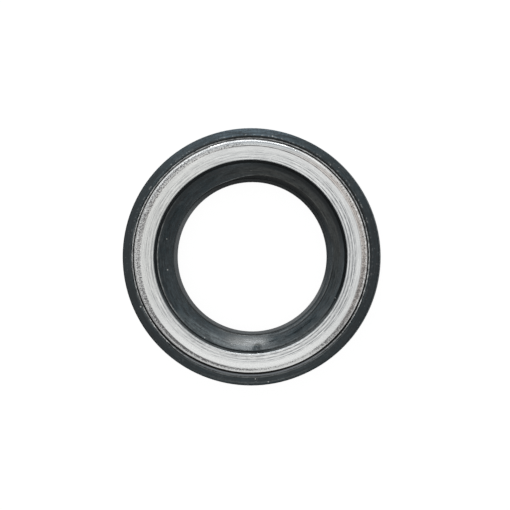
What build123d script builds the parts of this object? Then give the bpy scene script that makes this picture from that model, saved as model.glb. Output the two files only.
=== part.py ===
from build123d import *
import os
from math import atan2, cos, radians, sin, sqrt, tan

# A radial shaft seal: a pressed steel case, moulded into a rubber body whose
# sealing lip is held on the shaft by a garter spring.
# Z runs along the shaft. The oil side stands on z = 0 and the air side, with
# the bare face of the case, is on top. Lengths in millimetres, angles in degrees.
# Every section below is drawn in the X-Z plane as (radius, height).

# What the seal is made for
shaft_diameter = 35.0
housing_diameter = 58.0
seal_width = 10.0

# Fits
housing_squeeze = 0.28      # rubber outside beyond the housing bore, on diameter
lip_squeeze = 1.1           # free lip under the shaft, on diameter

# Steel case
sheet_thickness = 1.0
bend_radius = 2.0           # outside of its one bend
flange_clearance = 4.45     # flange hole beyond the shaft, on radius
flange_edge_round = 0.22    # rolled-over edge of the punched hole
foot_round = 0.3
foot_cover = 1.2            # rubber under the lower end of the case
ledge_depth = 0.86          # ledge that the mould coins into the bend, below the bare face

# Rubber cover and its rim round the case
cover_thickness = 2.09      # rubber outside the case's wall
rim_setback = 0.6           # rim's crest below the bare face, so a press tool meets steel
rim_foot = 0.05             # how far the rubber covers the ledge, in from the case's outside
rim_slope = 0.22            # run of its inner face, from the ledge to the crest
crest_round = 0.1
rim_fall = 20.0             # how steeply its top falls away outwards
rim_outer_round = 0.4
lead_in_height = 1.6
lead_in_depth = 0.55
lead_in_round = 0.5
oil_rim_round = 0.3

# Rubber inside the case
lining_thickness = 0.8      # on the case's wall
under_flange = 0.65         # below the flange
lining_round = 0.9
edge_slot_width = 0.45      # floor of the slot along the flange's hole
edge_slot_depth = 0.9       # below the bare face
bead_height = 0.3           # crest of the bead over that floor
bead_round = 0.1

# Membrane, a bowl between the flange and the lip
membrane_thickness = 1.0
bowl_turn = 16.0            # how much steeper it is at the flange than at the lip
root_round = 0.5

# Sealing lip
lip_depth = 5.7             # middle of the running edge below the bare face
land_width = 0.25           # narrow cylinder that runs on the shaft
air_angle = 27.0            # of the lip's air face to the shaft
oil_angle = 45.0            # of its oil face
lip_reach = 0.72            # how far the air face climbs outwards
relief_width = 0.28         # floor of the relief between lip and membrane
relief_step = 0.48
step_draft = 0.03
relief_round = 0.05
step_round = 0.12
nose_width = 1.0            # of the lip's end on the oil side
nose_round = 0.35
shoulder_round = 0.3

# Garter spring
spring_diameter = 2.0       # outside of the coil
lip_section = 1.35          # rubber between the shaft and the spring
spring_offset = 0.45        # spring above the running edge, towards the air side
spring_hook = 0.25          # how far the nose hooks past the spring's middle
spring_cover = 0.57         # how far the shoulder reaches over it

# Worked out from the sizes above
outer_radius = (housing_diameter + housing_squeeze) / 2
lip_radius = (shaft_diameter - lip_squeeze) / 2
case_radius = outer_radius - cover_thickness
case_inside = case_radius - sheet_thickness
flange_hole = shaft_diameter / 2 + flange_clearance
flange_underside = seal_width - sheet_thickness
bend_middle = (case_radius - bend_radius, seal_width - bend_radius)
mid_wall = case_radius - sheet_thickness / 2
ledge_height = seal_width - ledge_depth
spring_radius = spring_diameter / 2
spring_ring = lip_radius + lip_section + spring_radius
lip_height = seal_width - lip_depth
spring_height = lip_height + spring_offset
lining_radius = case_inside - lining_thickness
lining_height = flange_underside - under_flange


def section(corners):
    """A closed face from corners given as (radius, height, rounding)."""
    points = [(radius, height) for radius, height, rounding in corners]
    roundings = [rounding for radius, height, rounding in corners]
    return make_face(Plane.XZ * FilletPolyline(*points, radius=roundings, close=True))


def disc_section(radius, height, size):
    """A round of the given radius, placed in the section plane."""
    return Plane.XZ * Pos(radius, height) * Circle(size)


def distance(start, end):
    return sqrt((end[0] - start[0]) ** 2 + (end[1] - start[1]) ** 2)


def bend_fit(turn, *runs):
    """The largest bend that leaves a tenth of the shortest run beside it straight."""
    return 0.9 * min(runs) / tan(radians(turn / 2))


def case_section():
    inside_bend = bend_radius - sheet_thickness
    steel = section([
        (flange_hole, seal_width, flange_edge_round),
        (case_radius, seal_width, bend_radius),
        (case_radius, foot_cover, foot_round),
        (case_inside, foot_cover, foot_round),
        (case_inside, flange_underside, inside_bend),
        (flange_hole, flange_underside, 0),
    ])
    ledge = section([
        (mid_wall, bend_middle[1], 0),
        (mid_wall, ledge_height, 0),
        (case_radius, ledge_height, 0),
        (case_radius, bend_middle[1], 0),
    ])
    return steel + ledge


def rim_corners():
    """The rim above the case's shoulder and the outside that the housing grips."""
    foot = case_radius - rim_foot
    crest = (foot + rim_slope, seal_width - rim_setback)
    fall = (outer_radius - crest[0]) * tan(radians(rim_fall))
    return [
        (foot, ledge_height, 0),
        (*crest, crest_round),
        (outer_radius, crest[1] - fall, rim_outer_round),
        (outer_radius, lead_in_height, lead_in_round),
        (outer_radius - lead_in_depth, 0, oil_rim_round),
    ]


def lining_corners():
    """The oil-side rim and the rubber that lines the case."""
    root = membrane_points()[0]
    corner_round = min(lining_round, (lining_radius - root[0]) / 2)
    return [
        (lining_radius, 0, oil_rim_round),
        (lining_radius, lining_height, corner_round),
    ]


def relief_points():
    """The relief at the root of the lip: lip edge, floor and top of the step."""
    climb = lip_reach / tan(radians(air_angle))
    edge = (lip_radius + lip_reach, lip_height + land_width / 2 + climb)
    floor = (edge[0] + relief_width, edge[1])
    step = (floor[0] + step_draft, floor[1] + relief_step)
    return edge, floor, step


def bowl_points():
    """Foot, bottom and crest of the bowl that faces the air side."""
    foot = relief_points()[2]
    crest_height = seal_width - edge_slot_depth + bead_height
    crest = (flange_hole - edge_slot_width - bead_height, crest_height)
    half_run = distance(foot, crest) / 2
    sink = half_run * tan(radians(bowl_turn / 2))
    slope = membrane_slope(foot, crest)
    bottom = (
        (foot[0] + crest[0]) / 2 + sink * sin(slope),
        (foot[1] + crest[1]) / 2 - sink * cos(slope),
    )
    return foot, bottom, crest


def membrane_slope(foot, crest):
    """Slope of the straight line from the lip to the flange, in radians."""
    return atan2(crest[1] - foot[1], crest[0] - foot[0])


def membrane_points():
    """Root, bend and shoulder of the membrane's oil-side face."""
    foot, bottom, crest = bowl_points()
    slope = membrane_slope(foot, crest)
    half_turn = radians(bowl_turn / 2)
    reach = membrane_thickness / cos(half_turn)
    under = (bottom[0] + reach * sin(slope), bottom[1] - reach * cos(slope))
    root = (under[0] + (lining_height - under[1]) / tan(slope + half_turn), lining_height)
    shoulder_radius = spring_ring + spring_cover
    shoulder_drop = (under[0] - shoulder_radius) * tan(slope - half_turn)
    return root, under, (shoulder_radius, under[1] - shoulder_drop)


def membrane_corners():
    root, under, shoulder = membrane_points()
    bend = bend_fit(
        bowl_turn,
        distance(under, root) - root_round,
        distance(under, shoulder) - shoulder_round,
    )
    return [(*root, root_round), (*under, bend), (*shoulder, shoulder_round)]


def lip_corners():
    """The lip, from the spring round the nose and the running edge to its root."""
    land_bottom = lip_height - land_width / 2
    hook = spring_ring + spring_hook
    nose_inside = hook - nose_width
    nose_height = land_bottom - (nose_inside - lip_radius) / tan(radians(oil_angle))
    edge, floor, step = relief_points()
    return [
        (spring_ring + spring_cover, spring_height, 0),
        (hook, spring_height, 0),
        (hook, nose_height, nose_round),
        (nose_inside, nose_height, nose_round),
        (lip_radius, land_bottom, 0),
        (lip_radius, lip_height + land_width / 2, 0),
        (*edge, relief_round),
        (*floor, relief_round),
        (*step, step_round),
    ]


def bowl_corners():
    """The bowl, the bead along the flange's hole and the slot beside it."""
    foot, bottom, crest = bowl_points()
    bend = bend_fit(bowl_turn, distance(foot, bottom) - step_round)
    slot_floor = seal_width - edge_slot_depth
    return [
        (*bottom, bend),
        (*crest, bead_round),
        (flange_hole - edge_slot_width, slot_floor, bead_round / 2),
    ]


def buried_corners():
    """A way back to the rim inside the sheet, which is cut out of the rubber."""
    mid_sheet = seal_width - sheet_thickness / 2
    inside_sheet = flange_hole + sheet_thickness / 4
    return [
        (inside_sheet, seal_width - edge_slot_depth, 0),
        (inside_sheet, mid_sheet, 0),
        (bend_middle[0], mid_sheet, 0),
        (mid_wall, bend_middle[1], 0),
    ]


def body_section():
    corners = rim_corners() + lining_corners() + membrane_corners()
    corners += lip_corners() + bowl_corners() + buried_corners()
    rubber = section(corners) - case_section()
    return rubber - disc_section(spring_ring, spring_height, spring_radius)


def seal_body():
    return revolve(body_section(), Axis.Z)


def metal_case():
    return revolve(case_section(), Axis.Z)


def garter_spring():
    """The closed coil, as the ring that it fills."""
    return Pos(0, 0, spring_height) * Torus(spring_ring, spring_radius)


nodes = {
    "seal_body": seal_body(),
    "metal_case": metal_case(),
    "garter_spring": garter_spring(),
}

os.makedirs("parts", exist_ok=True)
for name, solid in nodes.items():
    export_step(solid, f"parts/{name}.step")
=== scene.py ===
import math

import bpy
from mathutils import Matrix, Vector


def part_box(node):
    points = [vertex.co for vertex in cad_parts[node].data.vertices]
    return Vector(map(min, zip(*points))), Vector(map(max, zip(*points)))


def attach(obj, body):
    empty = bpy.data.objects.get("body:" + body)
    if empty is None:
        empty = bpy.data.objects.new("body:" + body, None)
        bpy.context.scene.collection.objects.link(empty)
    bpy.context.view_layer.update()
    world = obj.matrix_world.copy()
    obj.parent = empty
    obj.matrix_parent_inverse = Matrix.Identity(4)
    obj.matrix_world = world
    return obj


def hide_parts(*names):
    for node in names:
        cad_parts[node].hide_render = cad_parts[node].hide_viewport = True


millimetre = 0.001
halfway = 0.5       # middle of what a noise gives

print("Loading the frame")
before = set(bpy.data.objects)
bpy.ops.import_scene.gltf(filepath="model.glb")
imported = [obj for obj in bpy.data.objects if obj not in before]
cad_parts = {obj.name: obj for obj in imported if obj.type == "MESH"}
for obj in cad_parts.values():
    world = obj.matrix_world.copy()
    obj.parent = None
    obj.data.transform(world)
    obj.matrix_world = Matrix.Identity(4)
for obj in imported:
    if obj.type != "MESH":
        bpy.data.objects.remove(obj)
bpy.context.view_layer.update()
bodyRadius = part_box("seal_body")[1][0] / millimetre
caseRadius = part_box("metal_case")[1][0] / millimetre
springLow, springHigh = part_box("garter_spring")


# Node tree helpers

def setSocket(tree, socket, value):
    if isinstance(value, bpy.types.NodeSocket):
        tree.links.new(value, socket)
    else:
        socket.default_value = value


def addNode(tree, kind, inputs=None, **settings):
    node = tree.nodes.new(kind)
    for name, value in settings.items():
        setattr(node, name, value)
    for name, value in (inputs or {}).items():
        setSocket(tree, node.inputs[name], value)
    return node


def calc(tree, operation, *values, clamp=False):
    inputs = dict(enumerate(values))
    return addNode(tree, "ShaderNodeMath", inputs, operation=operation, use_clamp=clamp).outputs[0]


def chain(tree, operation, result, *others):
    for other in others:
        result = calc(tree, operation, result, other)
    return result


def product(tree, *factors):
    return chain(tree, "MULTIPLY", *factors)


def total(tree, *parts):
    return chain(tree, "ADD", *parts)


def minus(tree, value, *others):
    return chain(tree, "SUBTRACT", value, *others)


def highest(tree, *values):
    return chain(tree, "MAXIMUM", *values)


def between(tree, start, end, share):
    return calc(tree, "MULTIPLY_ADD", minus(tree, end, start), share, start)


def vectorCalc(tree, operation, inputs):
    outputs = addNode(tree, "ShaderNodeVectorMath", inputs, operation=operation).outputs
    return outputs[1] if operation in ("LENGTH", "DISTANCE", "DOT_PRODUCT") else outputs[0]


def blendColours(tree, share, first, second, mode="MIX"):
    node = addNode(tree, "ShaderNodeMix", data_type="RGBA", blend_type=mode)
    # a Mix node keeps its colours in sockets 6 and 7
    for socket, value in ((0, share), (6, first), (7, second)):
        setSocket(tree, node.inputs[socket], value)
    return node.outputs[2]


def paint(tree, look, colour, layers):
    # Lays named colours over a first one: share, name and, where it isn't a plain mix, mode
    for share, name, *mode in layers:
        colour = blendColours(tree, share, colour, look[name], *mode)
    return colour


def fade(tree, value, start, end, low=0.0, high=1.0):
    inputs = {0: value, 1: start, 2: end, 3: low, 4: high}
    return addNode(tree, "ShaderNodeMapRange", inputs, interpolation_type="SMOOTHSTEP").outputs[0]


def ease(tree, share, low, high):
    return fade(tree, share, 0.0, 1.0, low, high)


def band(tree, value, middle, halfWidth, edge):
    # 1 inside a band about a middle value, falling to 0 over its edge
    away = calc(tree, "ABSOLUTE", minus(tree, value, middle))
    return fade(tree, away, halfWidth, halfWidth + edge, 1.0, 0.0)


def noise(tree, vector, scale, detail=2.0, roughness=0.5):
    inputs = {"Vector": vector, "Scale": scale, "Detail": detail, "Roughness": roughness}
    return addNode(tree, "ShaderNodeTexNoise", inputs).outputs[0]


def flatten(tree, point):
    return vectorCalc(tree, "MULTIPLY", {0: point, 1: (1.0, 1.0, 0.0)})


def ringPlace(tree):
    # Place in millimetres, distance from the axis, and direction from the axis
    place = addNode(tree, "ShaderNodeTexCoord").outputs["Object"]
    point = vectorCalc(tree, "SCALE", {0: place, "Scale": 1 / millimetre})
    flat = flatten(tree, point)
    return point, vectorCalc(tree, "LENGTH", {0: flat}), vectorCalc(tree, "NORMALIZE", {0: flat})


def ringNoise(tree, around, radius, aroundScale, radiusScale, detail=2.0, roughness=0.5):
    # A noise that follows the rings and has no seam
    stretch = vectorCalc(tree, "SCALE", {0: around, "Scale": aroundScale})
    rise = addNode(tree, "ShaderNodeCombineXYZ", {2: product(tree, radius, radiusScale)}).outputs[0]
    place = vectorCalc(tree, "ADD", {0: stretch, 1: rise})
    return noise(tree, place, 1.0, detail, roughness)


def pointing(degrees, elevation=0.0):
    # Direction of length 1, from degrees counted from +X and degrees above the ground
    turn, rise = math.radians(degrees), math.radians(elevation)
    return math.cos(turn) * math.cos(rise), math.sin(turn) * math.cos(rise), math.sin(rise)


def towards(tree, around, degrees, spread):
    # 1 in a direction from the axis, 0 beyond a spread of degrees to each side
    aligned = vectorCalc(tree, "DOT_PRODUCT", {0: around, 1: pointing(degrees)})
    limit = math.cos(math.radians(spread))
    return fade(tree, aligned, limit, 1.0 - (1.0 - limit) * 0.1)


def specks(tree, point, scale, size, share):
    # Small round spots: a share of the cells of a pattern holds one each
    cells = addNode(tree, "ShaderNodeTexVoronoi", {"Vector": point, "Scale": scale}).outputs
    chance = addNode(tree, "ShaderNodeSeparateColor", {0: cells["Color"]}).outputs[0]
    chosen = calc(tree, "LESS_THAN", chance, share)
    return product(tree, chosen, fade(tree, cells["Distance"], size * 0.5, size, 1.0, 0.0))


def spot(tree, point, x, y, size, core=0.5):
    # 1 over the core of a round spot seen from above, 0 beyond its size
    away = vectorCalc(tree, "DISTANCE", {0: flatten(tree, point), 1: (x, y, 0.0)})
    return fade(tree, away, size * core, size, 1.0, 0.0)


def placer(tree, look, around, distance):
    # Short ways to what a piece's dictionary names: marks, rings, edges and levels
    def mark(name, *shares):
        direction, spread, *strength = look["marks"][name]
        return product(tree, *shares, towards(tree, around, direction, spread), *strength)

    def ring(name):
        return band(tree, distance, *look["rings"][name])

    def edge(name):
        return fade(tree, distance, *look["edges"][name])

    def level(name, value):
        return fade(tree, value, *look["levels"][name])

    return mark, ring, edge, level


def newMaterial(name):
    material = bpy.data.materials.new(name)
    material.use_nodes = True
    tree = material.node_tree
    shader = next(node for node in tree.nodes if node.type == "BSDF_PRINCIPLED")
    return material, tree, shader


def finishSurface(tree, shader, colour, roughness, height, distance):
    # Colour, roughness and relief, the last as a bump with its depth in metres
    tree.links.new(colour, shader.inputs["Base Color"])
    tree.links.new(roughness, shader.inputs["Roughness"])
    inputs = {"Height": height, "Distance": distance, "Strength": 1.0}
    tree.links.new(addNode(tree, "ShaderNodeBump", inputs).outputs[0], shader.inputs["Normal"])


def dress(node, material):
    node.data.materials.clear()
    node.data.materials.append(material)


# Rubber

rubberLook = {
    "colour": (0.0060, 0.0150, 0.0190, 1.0),
    "worn": (0.0380, 0.0430, 0.0450, 1.0),      # dry skin of the lip and the rim's edge
    "paintedShade": (0.0035, 0.0040, 0.0042, 1.0),      # painted shade, for slots, hollows and sides turned from the lamps
    "paintedReflection": (0.0380, 0.0370, 0.0320, 1.0),      # painted reflection, brownish, in the bowl's upper right
    "bloomAndSheen": (0.0480, 0.0700, 0.0860, 1.0),     # bluish tint on the rim's surface, with painted sheen on the side towards the lamps
    "hazeAndSheen": (0.0300, 0.0420, 0.0480, 1.0),      # the same bluish tint, thinner, in the bowl, with painted sheen at the lower left
    "smokeAndSheen": (0.0780, 0.0920, 0.0960, 1.0),     # and thicker beside the smudge, with painted sheen
    "oilAndSheen": (0.0820, 0.0750, 0.0620, 1.0),       # and tanned and oily at the lowest place, with painted sheen
    "shadow": (0.0020, 0.0055, 0.0075, 1.0),    # painted shade on the rim's left and right sides
    # also the colour of the painted highlights
    "dustAndSheen": (0.5500, 0.5500, 0.5300, 1.0),
    "gloss": 0.62,                              # specular level
    "glossTint": (0.92, 0.97, 1.0, 1.0),
    "roughness": 0.38,
    "mottle": 0.68,                             # how much the gloss wanders
    "mattRoughness": 0.6,                       # added where shade is painted, and where it is matt
    "dustRoughness": 0.4,
    "glossMix": (0.3, 0.7),                     # clouds and scratches in the gloss
    "gritMix": (0.4, 0.6),                      # grains and scratches in the colour
    "scuffTurning": 0.5,                        # turning marks in the scuffs
    "scuffShare": 0.6,
    "lipShare": 0.5,
    "collarShare": 0.08,
    "bloomGap": 0.5,                            # how much thinner the bluish tint and its painted sheen are along the rim's middle
    "fineDust": 0.35,
    "toolMarks": 0.000008,                      # depth of the mould's turning marks, in metres
    "fineRelief": 0.25,                         # and of the fine grain, as a share of it
    "wallFade": 0.7,                            # how much fainter they are on the wall
    "wallSkin": (0.34, 0.14),                   # depths under the outside at which the wall sets in
    "lipEdge": 17.95,                           # where the ridge runs, in millimetres from the axis
    "patterns": {                               # scale, detail and roughness of a noise
        "clouds": (0.45, 4.0, 0.6),
        "fine": (3.0, 2.0, 0.5),
        "grains": (2.4, 3.0, 0.7),
    },
    "ringPatterns": {                           # scale around and outwards, detail and roughness
        "turning": (4.0, 5.0, 3.0, 0.5),
        "scratches": (7.0, 4.2, 3.0, 0.65),
        "crestDust": (60.0, 2.0, 2.0, 0.5),
    },
    "specks": {                                 # scale, size and share
        "coarse": (1.6, 0.14, 0.012),
        "fine": (2.6, 0.22, 0.10),
    },
    "marks": {                                  # direction and spread in degrees, and strength
        "ridge": (48, 62, 0.88),                # how far the ridge strays outwards, in millimetres
        "collar": (322, 48),
        "insideLip": (75, 78, 0.9),
        "mattLip": (20, 50),                    # or it would mirror the floor
        "underStep": (252, 52, 0.7),
        "crestLine": (66, 85, 0.17),
        # painted highlight on the rim's inner edge at the left, broken by scratches
        "rimEdgeSheen": (184, 50, 0.22),
        "besideFlange": (305, 32, 0.13),
        "upperRight": (48, 55, 0.8),
        "upperLeft": (135, 36, 0.45),
        "paintedReflection": (46, 84),
        "hazeAndSheen": (232, 62),
        "smokeAndSheen": (245, 32),
        "oilAndSheen": (267, 17, 0.5),
        "clean": (299, 27, 0.16),
        "openSlot": (305, 42),
        "slotFloor": (235, 52),
        "slotLight": (180, 180, 0.25),
        "rimFoot": (58, 84, 0.9),
        "crestDust": (75, 120, 0.35),
        "bloomAndSheen": (89, 24),
        "thinBloom": (98, 48, 0.36),
        "leftRim": (188, 62, 0.85),
        "rightRim": (350, 50, 0.6),
    },
    "paintedHighlightRings": [                              # painted highlights: distance, half width, edge, direction, spread, strength
        (17.90, 0.10, 0.12, 264, 24, 0.17),     # the lip's step
        (21.14, 0.07, 0.07, 184, 50, 0.34),     # bead
        (21.78, 0.10, 0.10, 245, 55, 0.12),     # wall of the slot
        (27.12, 0.10, 0.24, 276, 56, 0.17),     # the rim's crest
        (28.50, 0.06, 0.12, 272, 32, 0.09),     # and its shoulder
    ],
    "rings": {                                  # distance from the axis, half width and edge
        "underStep": (17.66, 0.07, 0.07),
        "bowl": (19.45, 0.50, 0.90),
        "smokeAndSheen": (20.25, 0.55, 0.70),
        "slot": (21.62, 0.28, 0.06),
        "rimEdgeSheen": (27.12, 0.04, 0.06),
        "rimFoot": (27.24, 0.15, 0.20),
        "crestDust": (27.60, 0.08, 0.12),
        "bloomGap": (28.02, 0.06, 0.22),
    },
    "edges": {                                  # distances between which something sets in
        "mattLip": (17.75, 17.55),
        "lip": (17.95, 17.80),
        "cleanStart": (17.9, 18.3),
        "cleanEnd": (20.4, 19.6),
        "oilAndSheen": (20.4, 19.8),
        "upperStart": (19.9, 20.7),
        "upperEnd": (22.4, 22.2),
        "besideFlange": (20.74, 21.62),
        "flangeHole": (22.3, 22.2),
        "slotFloor": (21.45, 21.6),
        "fineDust": (27.2, 27.6),
        "rim": (27.32, 27.60),
    },
    "ridgeBands": {                             # distance past the ridge, half width and edge
        "crestLine": (0.03, 0.06, 0.05),
        "collar": (0.38, 0.10, 0.10),
        "besideCollar": (0.70, 0.06, 0.08),
    },
    "levels": {                                 # where a value starts and ends to count, and as what
        "insideLip": (0.03, -0.06),
        "aboveFoot": (5.0, 6.0),                # height, in millimetres
        "scuffs": (0.62, 1.0),
        "crestLine": (0.3, 0.6, 0.5, 1.0),
        "rimEdgeSheen": (0.44, 0.56),
        "paintedReflection": (0.3, 0.7, 0.4, 0.9),
        "hazeAndSheen": (0.35, 0.65, 0.4, 1.0),
        "smokeAndSheen": (0.3, 0.6, 0.4, 0.9),
        "grit": (0.40, 0.60, 0.40, 1.65),
        "crestDust": (0.52, 0.66),
        "blotches": (0.42, 0.58, 0.2, 1.0),
    },
    "smudgeCore": 0.1,
    "smudges": [                                # x, y, reach and strength
        (1.60, -20.70, 1.4, 0.85),
        (0.85, -20.85, 0.9, 0.45),
    ],
    "dustSpots": [                              # x, y and size of the largest grains
        (4.95, 27.30, 0.16),
        (1.10, -27.60, 0.15),
        (4.00, -28.25, 0.17),
        (-24.95, -11.30, 0.22),
        (-19.00, -2.96, 0.17),
        (-19.15, 4.05, 0.13),
        (-10.40, -18.30, 0.13),
        (-4.30, -19.70, 0.13),
        (19.20, -9.30, 0.12),
    ],
}


def rubberMaterial():
    material, tree, shader = newMaterial("sealRubber")
    look = rubberLook
    point, radius, around = ringPlace(tree)
    mark, ring, edge, level = placer(tree, look, around, radius)

    def pattern(name):
        return noise(tree, point, *look["patterns"][name])

    def ringPattern(name, distance):
        return ringNoise(tree, around, distance, *look["ringPatterns"][name])

    clouds = pattern("clouds")
    fine = pattern("fine")

    # The mould's marks go round the outside wall as well, so there they follow its height, fainter
    height = addNode(tree, "ShaderNodeSeparateXYZ", {0: point}).outputs[2]
    onWall = fade(tree, radius, *(bodyRadius - depth for depth in look["wallSkin"]))
    course = calc(tree, "MULTIPLY_ADD", onWall, height, radius)
    markShare = minus(tree, 1.0, product(tree, onWall, look["wallFade"]))
    turning = between(tree, halfway, ringPattern("turning", course), markShare)
    scratches = between(tree, halfway, ringPattern("scratches", course), markShare)

    # Lip, with a ridge that strays outwards
    pastRidge = minus(tree, radius, total(tree, mark("ridge"), look["lipEdge"]))

    def ridgeBand(name):
        return band(tree, pastRidge, *look["ridgeBands"][name])

    collar = mark("collar", ridgeBand("collar"))
    # painted shade on the lip's face inside the ridge, on the side turned from the lamps
    insideLip = mark("insideLip", level("insideLip", pastRidge))
    scuffs = level("scuffs", total(tree, clouds, product(tree, turning, look["scuffTurning"])))
    worn = highest(
        tree,
        product(tree, scuffs, look["scuffShare"]),
        product(tree, edge("lip"), look["lipShare"]),
        collar,
    )

    # Painted highlights: light lines on edges and ridges, on the sides that face the lamps
    paintedHighlights = highest(
        tree,
        product(tree, collar, look["collarShare"]),
        mark("crestLine", ridgeBand("crestLine"), level("crestLine", turning)),
        mark("rimEdgeSheen", ring("rimEdgeSheen"), level("rimEdgeSheen", scratches)),
        mark("besideFlange", edge("besideFlange"), edge("flangeHole")),
    )
    for distance, halfWidth, soft, direction, spread, strength in look["paintedHighlightRings"]:
        line = band(tree, radius, distance, halfWidth, soft)
        line = product(tree, line, towards(tree, around, direction, spread), strength)
        paintedHighlights = highest(tree, paintedHighlights, line)

    # Bowl and rim
    # painted shade in the bowl under the flange's edge, at the upper right and the upper left
    upper = highest(tree, mark("upperRight"), mark("upperLeft"))
    upper = product(tree, upper, edge("upperStart"), edge("upperEnd"))
    onRim = edge("rim")
    bloomAndSheen = highest(tree, mark("bloomAndSheen"), mark("thinBloom"))
    gap = product(tree, ring("bloomGap"), look["bloomGap"])
    bloomAndSheen = product(tree, bloomAndSheen, minus(tree, 1.0, gap), onRim)
    inBowl = ring("bowl")
    colour = paint(tree, look, look["colour"], [
        (worn, "worn"),
        (insideLip, "paintedShade"),
        (paintedHighlights, "dustAndSheen"),
        (upper, "paintedShade"),
        (bloomAndSheen, "bloomAndSheen"),
        (highest(tree, mark("leftRim", onRim), mark("rightRim", onRim)), "shadow"),
        (mark("paintedReflection", inBowl, level("paintedReflection", turning)), "paintedReflection"),
        (mark("hazeAndSheen", inBowl, level("hazeAndSheen", turning)), "hazeAndSheen"),
        (mark("smokeAndSheen", ring("smokeAndSheen"), level("smokeAndSheen", clouds)), "smokeAndSheen"),
        (mark("oilAndSheen", inBowl, edge("oilAndSheen")), "oilAndSheen"),
    ])
    grainy, scratched = look["gritMix"]
    grit = total(tree, product(tree, pattern("grains"), grainy), product(tree, scratches, scratched))
    grit = level("grit", grit)
    grit = addNode(tree, "ShaderNodeCombineColor", {0: grit, 1: grit, 2: grit}).outputs[0]
    colour = blendColours(tree, 1.0, colour, grit, "MULTIPLY")

    # Painted shade in the slot, beside the collar, at the foot of the rim and under the step, less where
    # the slot is open to the lamps
    litSlot = highest(tree, mark("openSlot"), mark("slotFloor", edge("slotFloor")), mark("slotLight"))
    paintedShadows = highest(
        tree,
        product(tree, ring("slot"), minus(tree, 1.0, litSlot)),
        mark("collar", ridgeBand("besideCollar")),
        mark("rimFoot", ring("rimFoot")),
        mark("underStep", ring("underStep")),
    )

    # Dust on the rim's crest, fine and coarse grains, and the few large ones
    crestDust = level("crestDust", ringPattern("crestDust", radius))
    fineDust = specks(tree, point, *look["specks"]["fine"])
    dustAndSheen = highest(
        tree,
        mark("crestDust", ring("crestDust"), level("aboveFoot", height), crestDust),
        specks(tree, point, *look["specks"]["coarse"]),
        product(tree, fineDust, edge("fineDust"), look["fineDust"]),
        *(spot(tree, point, x, y, size) for x, y, size in look["dustSpots"]),
    )
    colour = paint(tree, look, colour, [(paintedShadows, "paintedShade"), (dustAndSheen, "dustAndSheen")])

    # Gloss
    shader.inputs["Specular IOR Level"].default_value = look["gloss"]
    shader.inputs["Specular Tint"].default_value = look["glossTint"]
    cloudy, scratched = look["glossMix"]
    wander = total(tree, product(tree, clouds, cloudy), product(tree, scratches, scratched))
    wander = product(tree, minus(tree, wander, halfway), look["mottle"])
    roughness = total(tree, wander, look["roughness"], product(tree, dustAndSheen, look["dustRoughness"]))
    blotches = level("blotches", fine)
    for x, y, reach, strength in look["smudges"]:
        smudge = product(tree, spot(tree, point, x, y, reach, look["smudgeCore"]), blotches, strength)
        roughness = total(tree, roughness, smudge)
    roughness = minus(tree, roughness, mark("clean", edge("cleanStart"), edge("cleanEnd")))
    matt = highest(tree, paintedShadows, insideLip, upper, mark("mattLip", edge("mattLip")), onWall)
    matt = product(tree, matt, look["mattRoughness"])
    roughness = calc(tree, "ADD", roughness, matt, clamp=True)

    relief = total(tree, turning, scratches, product(tree, fine, look["fineRelief"]))
    finishSurface(tree, shader, colour, roughness, relief, look["toolMarks"])
    return material


# Steel case

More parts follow.
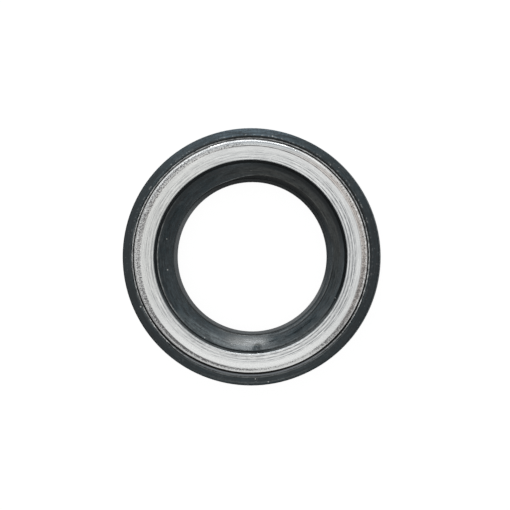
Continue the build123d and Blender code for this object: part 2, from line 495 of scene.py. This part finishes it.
caseLook = {
    "colour": (0.86, 0.87, 0.86, 1.0),
    "grooveAndShade": (0.33, 0.34, 0.35, 1.0),
    "tarnish": (0.26, 0.29, 0.31, 1.0),
    "pit": (0.15, 0.145, 0.15, 1.0),
    "stain": (0.90, 0.83, 0.79, 1.0),
    "warmth": (1.00, 0.995, 0.98, 1.0),
    "bendWarmth": (1.00, 0.98, 0.965, 1.0),
    "dirtAndShade": (0.028, 0.028, 0.028, 1.0),
    "paintedGlint": (0.98, 0.98, 0.97, 1.0),
    "dull": (0.56, 0.57, 0.57, 1.0),
    "flash": (0.225, 0.242, 0.258, 1.0),        # skin of rubber left on the ledge
    "roughness": 0.24,
    "bendRoughness": 0.09,
    "grain": 0.000020,                          # height of the grain round the bend, in metres
    "brush": 0.000003,                          # depth of the turning marks on the flat face
    "pitLevel": 0.465,                          # the grain is stretched about this level
    "smearedShade": 0.42,                       # what the pits are like where they are smeared
    "fineWander": 0.18,                         # millimetres that the fine grain moves the bend's edge
    "polishWander": 0.3,                        # and its bright edge
    "shades": {                                 # what darkens the flat face, and by how much
        "streaks": (0.15, 0.30),                # along its outside and its hole
        "allStreaks": 0.05,                     # added all over
        "frontStreaks": 0.22,                   # less at the front of its outside
        "fine": 0.15,
        "back": 0.03,
    },
    "burrShare": 0.9,
    "greyedRing": 0.25,
    "mattShare": 0.85,
    "smoothing": 0.7,                           # how much of the grain is gone where it is smooth
    "roughened": {                              # how much each adds to the roughness
        "shade": 0.2,
        "pits": 0.2,
        "burr": 0.35,
        "dirtAndShade": 0.6,
        "mattTop": 0.48,
    },
    "patterns": {                               # scale, detail and roughness of a noise
        "fine": (3.4, 2.0, 0.6),
        "grain": (3.3, 4.0, 0.85),
    },
    "ringPatterns": {                           # scale around and outwards, detail and roughness
        "streaks": (5.0, 5.2, 3.0, 0.7),
        "breaks": (16.0, 3.4, 4.0, 0.75),
        "dashes": (21.0, 6.5, 2.0, 0.7),
        "ticks": (95.0, 2.6, 2.0, 0.5),
        "flecks": (52.0, 3.0, 2.0, 0.5),
        "glints": (30.0, 3.0, 3.0, 0.7),
    },
    "marks": {                                  # direction and spread in degrees, and strength
        "front": (262, 70),
        "right": (-8, 60),
        "left": (180, 60),
        "byHole": (205, 52, 0.16),
        "dashes": (264, 56, 0.27),
        "warmth": (160, 62),
        "smeared": (350, 48, 0.3),
        "stain": (16, 66),
        "flecks": (2, 48),
        "lowBrightEdge": (324, 46, 0.9),
        "bendWarmth": (138, 50),
        "burnished": (254, 50, 0.8),
        "top": (88, 32),
        "mattTop": (90, 24),
        "brightLedge": (150, 30, 0.05),
        "fleckedLedge": (350, 30, 0.14),
        "dirtyLedge": (92, 15, 0.5),
        "flash": (272, 50),
        "seam": (72, 48),
        "leftSeam": (165, 30, 0.25),
        "rightSeam": (15, 60, 0.45),
        "secondSeam": (45, 46),
    },
    "sweeps": {                                 # direction and spread, value away from it and in it
        "deepCuts": (-10, 100, 0.5, 1.3),
        "burr": (268, 75, 0.8, 0.65),
        "ticks": (25, 70, 0.1, 0.45),
        "byFace": (42, 64, 0.02, -0.04),
        "brightEdge": (75, 125, 0.45, 0.9),
        "smoothEdge": (0, 60, 0.9, 0.3),
        "cleanCorner": (102, 34, 1.0, 0.80),
    },
    "levels": {                                 # where a value starts and ends to count, and as what
        "streaks": (0.38, 0.62),
        "fine": (0.35, 0.65),
        "dashes": (0.47, 0.60),
        "breaks": (0.38, 0.60, 0.15, 1.25),
        "pits": (0.37, 0.56, 0.95, 0.0),
        "stain": (0.3, 0.6, 0.6, 1.0),
        "flecks": (0.52, 0.58),
        "polish": (0.36, 0.50, 1.0, 0.55),
        "ledgeDirt": (0.46, 0.76),
        "ledgeShine": (0.44, 0.38),
        "seam": (0.35, 0.55, 0.55, 1.0),
        "secondSeam": (0.40, 0.60, 0.1, 0.6),
        "bend": (2.07, 1.97),                   # these three in millimetres
        "polishStart": (1.13, 0.98),
        "corner": (0.63, 0.55),                 # grime and painted shade along the foot of the bend
    },
    # from here on, distances are in from the case's outside, in millimetres
    "rings": {                                  # distance, half width and edge
        "ledge": (0.165, 0.105, 0.04),
        "flash": (0.24, 0.18, 0.05),
        "mattTop": (0.66, 0.14, 0.10),
        "paintedGlints": (0.82, 0.12, 0.10),
        "greyed": (1.00, 0.10, 0.12),
        "burnished": (1.10, 0.07, 0.14),
        "secondSeam": (1.57, 0.03, 0.05),
        "byFace": (1.70, 0.25, 0.30),
        "seam": (1.91, 0.07, 0.06),
    },
    "edges": {                                  # distances between which something sets in, and as what
        "polishEnd": (0.52, 0.67),
        "greyed": (1.3, 1.1, 0.0, 0.56),
        "smoothTop": (1.35, 1.15),
        "inwards": (2.6, 4.0),
        "right": (2.6, 4.6, 0.05, 0.22),
        "left": (2.6, 4.6, 0.07, 0.02),
        "dashes": (3.3, 4.2),
        "byHole": (4.1, 4.5),
        "burr": (4.95, 5.05),
    },
    "grooves": [                                # distance, half width, darkness
        (4.85, 0.09, -0.22),
        (4.54, 0.08, 0.62),
        (4.18, 0.09, -0.20),
        (3.83, 0.09, 0.40),
        (3.54, 0.06, -0.12),
        (3.32, 0.06, 0.66),
        (3.01, 0.04, 0.30),
    ],
    "grooveEdge": 0.06,
    "bendWander": [                             # direction, spread, how far the bend's edge draws back
        (262, 70, 0.25),
        (350, 58, 0.20),
        (165, 30, -0.13),
        (236, 26, -0.13),
    ],
    "cornerWander": [                           # the same for the dark corner
        (272, 85, -0.22),
        (263, 34, -0.10),
        (114, 34, 0.15),
        (88, 32, -0.07),
    ],
    "galledRings": [                            # distance, half width, edge, direction, spread, easing
        (1.82, 0.12, 0.25, 248, 42, -0.05),
        (1.62, 0.14, 0.12, 126, 28, 0.045),
        (1.10, 0.14, 0.14, 136, 22, -0.045),
    ],
    "galling": [                                # direction, spread, more or less pitted
        (335, 36, 0.045),
        (225, 50, 0.040),
        (222, 18, 0.030),
        (314, 16, 0.035),
        (145, 40, 0.03),
        (30, 40, 0.01),
        (66, 34, -0.055),
        (297, 30, -0.045),
    ],
    "sharper": [(262, 48), (125, 42), (5, 110)],    # where the pits are crisper: direction, spread
    "sharpness": (1.5, 2.5),
}


def caseMaterial():
    material, tree, shader = newMaterial("caseSteel")
    look = caseLook
    point, radius, around = ringPlace(tree)
    inset = minus(tree, caseRadius, radius)
    mark, ring, edge, level = placer(tree, look, around, inset)

    def pattern(name):
        return noise(tree, point, *look["patterns"][name])

    def ringPattern(name):
        return ringNoise(tree, around, radius, *look["ringPatterns"][name])

    def sweep(name):
        direction, spread, away, there = look["sweeps"][name]
        return ease(tree, towards(tree, around, direction, spread), away, there)

    def wander(start, table):
        return total(tree, start, *(
            product(tree, towards(tree, around, direction, spread), reach)
            for direction, spread, reach in look[table]
        ))

    # Flat face, with the marks of its turning, and darker towards its sides and beside the hole
    fine = pattern("fine")
    streaks = ringPattern("streaks")
    breaks = ringPattern("breaks")
    front = mark("front")
    inwards = edge("inwards")
    shades = look["shades"]
    outerFront = product(tree, front, minus(tree, 1.0, inwards), shades["frontStreaks"])
    streaky = minus(tree, ease(tree, inwards, *shades["streaks"]), outerFront)
    streaky = total(tree, streaky, shades["allStreaks"])
    shade = total(
        tree,
        product(tree, level("streaks", streaks), streaky),
        product(tree, level("fine", fine), shades["fine"]),
        product(tree, minus(tree, 1.0, front), shades["back"]),
        mark("right", edge("right")),
        mark("left", edge("left")),
        mark("byHole", edge("byHole")),
        mark("dashes", level("dashes", ringPattern("dashes")), edge("dashes")),
    )
    depth = product(tree, level("breaks", breaks), sweep("deepCuts"))
    for distance, halfWidth, darkness in look["grooves"]:
        line = band(tree, inset, distance, halfWidth, look["grooveEdge"])
        shade = total(tree, shade, product(tree, line, depth, darkness))
    burr = product(tree, edge("burr"), sweep("burr"))
    colour = paint(tree, look, look["colour"], [
        (shade, "grooveAndShade"),
        (mark("warmth"), "warmth", "MULTIPLY"),
        (product(tree, burr, look["burrShare"]), "tarnish"),
    ])

    # Bend, galled by the press tool
    bendInset = wander(inset, "bendWander")
    fineWander = product(tree, minus(tree, fine, halfway), look["fineWander"])
    onBend = level("bend", total(tree, bendInset, fineWander))
    grain = pattern("grain")
    rough = between(tree, grain, ringPattern("ticks"), sweep("ticks"))
    surface = minus(tree, rough, product(tree, ring("byFace"), sweep("byFace")))
    for distance, halfWidth, soft, direction, spread, easing in look["galledRings"]:
        line = band(tree, inset, distance, halfWidth, soft)
        spared = product(tree, line, towards(tree, around, direction, spread), easing)
        surface = total(tree, surface, spared)
    for direction, spread, more in look["galling"]:
        surface = minus(tree, surface, product(tree, towards(tree, around, direction, spread), more))
    sharper = highest(tree, *(towards(tree, around, *place) for place in look["sharper"]))
    surface = between(tree, look["pitLevel"], surface, ease(tree, sharper, *look["sharpness"]))
    pits = between(tree, level("pits", surface), look["smearedShade"], mark("smeared"))
    galled = paint(tree, look, look["colour"], [
        (pits, "pit"),
        (mark("stain", level("stain", breaks)), "stain", "MULTIPLY"),
    ])
    colour = blendColours(tree, onBend, colour, galled)

    # Bright edge, painted glints, and painted shade on the top where the low lamp's reflection falls
    polishInset = total(tree, inset, product(tree, fine, look["polishWander"]))
    onPolish = product(
        tree,
        level("polishStart", polishInset),
        edge("polishEnd"),
        highest(tree, sweep("brightEdge"), mark("lowBrightEdge")),
        level("polish", grain),
    )
    flecks = mark("flecks", level("flecks", ringPattern("flecks")))
    # painted glints: white, not metallic, on the bend's outer part
    paintedGlints = product(tree, ring("paintedGlints"), flecks)
    burnished = mark("burnished", ring("burnished"))
    atTop = mark("top")
    greyed = total(tree, edge("greyed"), product(tree, ring("greyed"), look["greyedRing"]))
    greyed = product(tree, atTop, greyed)
    mattTop = mark("mattTop", ring("mattTop"))
    colour = paint(tree, look, colour, [
        (onPolish, "colour"),
        (paintedGlints, "paintedGlint"),
        (mark("bendWarmth", onBend), "bendWarmth", "MULTIPLY"),
        (burnished, "colour"),
        (highest(tree, greyed, product(tree, mattTop, look["mattShare"])), "grooveAndShade"),
    ])

    # Corner painted dark, as grime and shade, and dull ledge
    inCorner = product(tree, level("corner", wander(inset, "cornerWander")), sweep("cleanCorner"))
    glints = minus(tree, ringPattern("glints"), mark("brightLedge"), mark("fleckedLedge", flecks))
    ledge = paint(tree, look, look["dull"], [
        (level("ledgeDirt", glints), "dirtAndShade"),
        (level("ledgeShine", glints), "colour"),
        (mark("dirtyLedge"), "dirtAndShade"),
    ])
    flash = mark("flash", ring("flash"))
    seamReach = highest(tree, mark("seam"), mark("leftSeam"), mark("rightSeam"))
    seam = product(tree, ring("seam"), seamReach, level("seam", breaks))
    secondSeam = mark("secondSeam", ring("secondSeam"), level("secondSeam", breaks))
    colour = blendColours(tree, inCorner, colour, look["dirtAndShade"])
    colour = blendColours(tree, ring("ledge"), colour, ledge)
    colour = paint(tree, look, colour, [(flash, "flash"), (highest(tree, seam, secondSeam), "pit")])

    # Gloss, and the grain as relief
    tree.links.new(minus(tree, 1.0, highest(tree, flash, paintedGlints)), shader.inputs["Metallic"])
    smoothed = highest(
        tree,
        product(tree, onPolish, sweep("smoothEdge")),
        product(tree, burnished, look["smoothing"]),
        product(tree, atTop, edge("smoothTop"), look["smoothing"]),
    )
    roughened = look["roughened"]
    roughness = total(
        tree,
        ease(tree, onBend, look["roughness"], look["bendRoughness"]),
        product(tree, shade, minus(tree, 1.0, onBend), roughened["shade"]),
        product(tree, pits, onBend, roughened["pits"]),
        product(tree, burr, roughened["burr"]),
        highest(
            tree,
            product(tree, inCorner, roughened["dirtAndShade"]),
            product(tree, mattTop, roughened["mattTop"]),
        ),
    )
    grainy = product(tree, onBend, minus(tree, 1.0, smoothed))
    relief = total(tree, product(tree, rough, grainy, look["grain"] / look["brush"]), streaks)
    finishSurface(tree, shader, colour, roughness, relief, look["brush"])
    return material


print("Finishing the rubber and the case")
dress(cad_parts["seal_body"], rubberMaterial())
dress(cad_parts["metal_case"], caseMaterial())


# Garter spring

springLook = {
    "colour": (0.42, 0.42, 0.41, 1.0),
    "stain": (0.24, 0.23, 0.21, 1.0),
    "stainPattern": (0.6, 3.0),                 # scale and detail of its noise
    "stainLevel": (0.4, 0.7),
    "roughness": (0.22, 0.20),                  # least, and how much the stain adds
    "wire": 0.4,
    "play": 0.01,                               # coil under the groove's size, on radius
    "closeness": 0.99,                          # turns wound, as a share of those with no gap inside
    "pointsPerTurn": 10,
    "sides": 6,
}


def springMaterial():
    material, tree, shader = newMaterial("springSteel")
    look = springLook
    stain = noise(tree, ringPlace(tree)[0], *look["stainPattern"])
    shade = blendColours(tree, fade(tree, stain, *look["stainLevel"]), look["colour"], look["stain"])
    tree.links.new(shade, shader.inputs["Base Color"])
    shader.inputs["Metallic"].default_value = 1.0
    least, more = look["roughness"]
    tree.links.new(total(tree, product(tree, stain, more), least), shader.inputs["Roughness"])
    return material


def coilTree():
    # A wire wound round a ring, each turn against the next
    tree = bpy.data.node_groups.new("closeWoundCoil", "GeometryNodeTree")
    sizes = [
        ("Ring Radius", "NodeSocketFloat"),
        ("Ring Height", "NodeSocketFloat"),
        ("Coil Radius", "NodeSocketFloat"),
        ("Wire Radius", "NodeSocketFloat"),
        ("Turns", "NodeSocketInt"),
        ("Points Per Turn", "NodeSocketInt"),
        ("Wire Sides", "NodeSocketInt"),
        ("Wire Material", "NodeSocketMaterial"),
    ]
    for name, kind in sizes:
        tree.interface.new_socket(name, in_out="INPUT", socket_type=kind)
    tree.interface.new_socket("Geometry", in_out="OUTPUT", socket_type="NodeSocketGeometry")
    given = addNode(tree, "NodeGroupInput").outputs

    # Points on the ring, each moved to its place round the coil
    count = product(tree, given["Turns"], given["Points Per Turn"])
    inputs = {"Resolution": count, "Radius": given["Ring Radius"]}
    ring = addNode(tree, "GeometryNodeCurvePrimitiveCircle", inputs, mode="RADIUS").outputs[0]
    index = addNode(tree, "GeometryNodeInputIndex").outputs[0]
    turn = product(tree, calc(tree, "DIVIDE", index, given["Points Per Turn"]), math.tau)
    place = addNode(tree, "GeometryNodeInputPosition").outputs[0]
    outward = vectorCalc(tree, "NORMALIZE", {0: place})
    reach = product(tree, calc(tree, "COSINE", turn), given["Coil Radius"])
    sideways = vectorCalc(tree, "SCALE", {0: outward, "Scale": reach})
    rise = product(tree, calc(tree, "SINE", turn), given["Coil Radius"])
    rise = total(tree, rise, given["Ring Height"])
    upward = addNode(tree, "ShaderNodeCombineXYZ", {2: rise}).outputs[0]
    offset = vectorCalc(tree, "ADD", {0: sideways, 1: upward})
    coil = addNode(tree, "GeometryNodeSetPosition", {"Geometry": ring, "Offset": offset}).outputs[0]

    # The wire round them
    inputs = {"Resolution": given["Wire Sides"], "Radius": given["Wire Radius"]}
    profile = addNode(tree, "GeometryNodeCurvePrimitiveCircle", inputs, mode="RADIUS").outputs[0]
    inputs = {"Curve": coil, "Profile Curve": profile}
    wire = addNode(tree, "GeometryNodeCurveToMesh", inputs).outputs[0]
    wire = addNode(tree, "GeometryNodeRealizeInstances", {"Geometry": wire}).outputs[0]
    inputs = {"Geometry": wire, "Material": given["Wire Material"]}
    finished = addNode(tree, "GeometryNodeSetMaterial", inputs).outputs[0]
    addNode(tree, "NodeGroupOutput", {"Geometry": finished})
    return tree


def plainMesh(name, tree, values):
    # Runs a node tree on an empty object and keeps its result as a plain mesh
    carrier = bpy.data.objects.new(name, bpy.data.meshes.new(name + "Seed"))
    bpy.context.scene.collection.objects.link(carrier)
    modifier = carrier.modifiers.new(name, "NODES")
    modifier.node_group = tree
    for socket in tree.interface.items_tree:
        if socket.item_type == "SOCKET" and socket.in_out == "INPUT":
            modifier[socket.identifier] = values[socket.name]
    bpy.context.view_layer.update()
    evaluated = carrier.evaluated_get(bpy.context.evaluated_depsgraph_get())
    mesh = bpy.data.meshes.new_from_object(evaluated)
    mesh.name = name
    carrier.modifiers.clear()
    carrier.data = mesh
    return carrier


def addSpring():
    grooveAndShade = (springHigh[2] - springLow[2]) / 2
    ringRadius = springHigh[0] - grooveAndShade
    wire = springLook["wire"] * millimetre
    coilRadius = grooveAndShade - springLook["play"] * millimetre - wire / 2
    turns = int(math.tau * (ringRadius - coilRadius) / wire * springLook["closeness"])
    spring = plainMesh("closeWoundSpring", coilTree(), {
        "Ring Radius": ringRadius,
        "Ring Height": (springHigh[2] + springLow[2]) / 2,
        "Coil Radius": coilRadius,
        "Wire Radius": wire / 2,
        "Turns": turns,
        "Points Per Turn": springLook["pointsPerTurn"],
        "Wire Sides": springLook["sides"],
        "Wire Material": springMaterial(),
    })
    for face in spring.data.polygons:
        face.use_smooth = True
    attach(spring, "root")
    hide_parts("garter_spring")
    print("The spring has", turns, "turns")


print("Winding the spring")
addSpring()


# Camera, floor and light

viewSetup = {
    "distance": 1.0,
    "tiltDegrees": 3.95,
    "frameWidth": 0.11524,
    "aim": (0.001064, 0.00041, 0.010),
    "sensor": 36.0,
}


def addCamera():
    data = bpy.data.cameras.new("viewCamera")
    data.sensor_width = viewSetup["sensor"]
    data.lens = viewSetup["sensor"] * viewSetup["distance"] / viewSetup["frameWidth"]
    camera = bpy.data.objects.new("viewCamera", data)
    tilt = math.radians(viewSetup["tiltDegrees"])
    aim = viewSetup["aim"]
    camera.location = (
        aim[0] + viewSetup["distance"] * math.sin(tilt),
        aim[1],
        aim[2] + viewSetup["distance"] * math.cos(tilt),
    )
    camera.rotation_euler = (0.0, tilt, 0.0)
    bpy.context.scene.collection.objects.link(camera)
    bpy.context.scene.camera = camera


floorSetup = {
    "size": 6.0,
    "colour": (0.85, 0.85, 0.85, 1.0),
    "roughness": 0.9,
    "shadowShare": 0.13,        # how much of the floor's own shading the camera sees
    "glow": 0.95,
    "glowColour": (1.0, 1.0, 1.0, 1.0),
}


def addFloor():
    half = floorSetup["size"] / 2
    mesh = bpy.data.meshes.new("floor")
    corners = [(-half, -half, 0), (half, -half, 0), (half, half, 0), (-half, half, 0)]
    mesh.from_pydata(corners, [], [(0, 1, 2, 3)])
    floor = bpy.data.objects.new("floor", mesh)
    bpy.context.scene.collection.objects.link(floor)
    material, tree, shader = newMaterial("paleFloor")
    shader.inputs["Roughness"].default_value = floorSetup["roughness"]
    shader.inputs["Specular IOR Level"].default_value = 0.0
    shader.inputs["Emission Color"].default_value = floorSetup["glowColour"]
    # the camera, glass and reflections see it glow, and it lights nothing
    path = addNode(tree, "ShaderNodeLightPath").outputs
    seen = highest(tree, path["Is Camera Ray"], path["Is Transmission Ray"], path["Is Glossy Ray"])
    faint = tuple(level * floorSetup["shadowShare"] for level in floorSetup["colour"][:3]) + (1.0,)
    colour = blendColours(tree, seen, floorSetup["colour"], faint)
    tree.links.new(colour, shader.inputs["Base Color"])
    tree.links.new(product(tree, seen, floorSetup["glow"]), shader.inputs["Emission Strength"])
    mesh.materials.append(material)


worldSetup = {
    # share of the height from the horizon to overhead, and brightness there
    "stops": [
        (0.0, 0.22), (0.08, 0.30), (0.22, 0.54), (0.32, 0.80), (0.41, 0.84), (0.50, 0.70),
        (0.62, 0.64), (0.85, 0.58), (0.95, 0.64), (0.985, 0.97),
    ],
    "lean": (105, 0.26),        # direction that is brighter, and by how much
    "backTint": (0.95, 0.99, 1.02, 1.0),
    "tintReach": (0.1, 0.7),    # where it sets in, from the middle to the lean's direction
    "patches": [                # direction and elevation of brighter patches, reach and strength
        (131, 9, 28, 1.15),
        (276, 32, 36, 0.32),
    ],
}


def addWorld():
    world = bpy.data.worlds.new("studio")
    world.use_nodes = True
    tree = world.node_tree
    tree.nodes.clear()
    direction = addNode(tree, "ShaderNodeTexCoord").outputs["Generated"]
    parts = addNode(tree, "ShaderNodeSeparateXYZ", {0: direction}).outputs
    ramp = addNode(tree, "ShaderNodeValToRGB", {0: parts[2]})
    stops = ramp.color_ramp.elements
    while len(stops) < len(worldSetup["stops"]):
        stops.new(0.5)
    for stop, (place, light) in zip(stops, worldSetup["stops"]):
        stop.position = place
        stop.color = (light, light, light, 1.0)
    turn, share = worldSetup["lean"]
    along = vectorCalc(tree, "DOT_PRODUCT", {0: direction, 1: pointing(turn)})
    strength = calc(tree, "MULTIPLY_ADD", along, share, 1.0)
    for turn, rise, reach, brightness in worldSetup["patches"]:
        aligned = vectorCalc(tree, "DOT_PRODUCT", {0: direction, 1: pointing(turn, rise)})
        patch = fade(tree, aligned, math.cos(math.radians(reach)), 1.0)
        strength = calc(tree, "MULTIPLY_ADD", patch, brightness, strength)
    tint = fade(tree, along, *worldSetup["tintReach"])
    colour = blendColours(tree, tint, ramp.outputs[0], worldSetup["backTint"], "MULTIPLY")
    background = addNode(tree, "ShaderNodeBackground", {"Color": colour, "Strength": strength})
    addNode(tree, "ShaderNodeOutputWorld", {0: background.outputs[0]})
    bpy.context.scene.world = world


lampSetup = {
    "low": {"azimuth": 92.5, "elevation": 5.4, "distance": 1.2, "size": (0.34, 0.22), "power": 9.2},
    "side": {"azimuth": 79, "elevation": 15, "distance": 1.2, "size": (1.1, 0.28), "power": 0.42},
}


def addLamp(name, azimuth, elevation, distance, size, power):
    data = bpy.data.lights.new(name, "AREA")
    data.shape = "RECTANGLE"
    data.size, data.size_y = size
    data.energy = power
    lamp = bpy.data.objects.new(name, data)
    lamp.location = [distance * part for part in pointing(azimuth, elevation)]
    # lamps shine along their own -Z
    lamp.rotation_euler = (math.radians(90 - elevation), 0.0, math.radians(azimuth + 90))
    lamp.visible_camera = False
    bpy.context.scene.collection.objects.link(lamp)


print("Setting up the camera and the studio")
addCamera()
addFloor()
addWorld()
for lampName, lampValues in lampSetup.items():
    addLamp(lampName, **lampValues)
bpy.context.scene.view_settings.view_transform = "Standard"
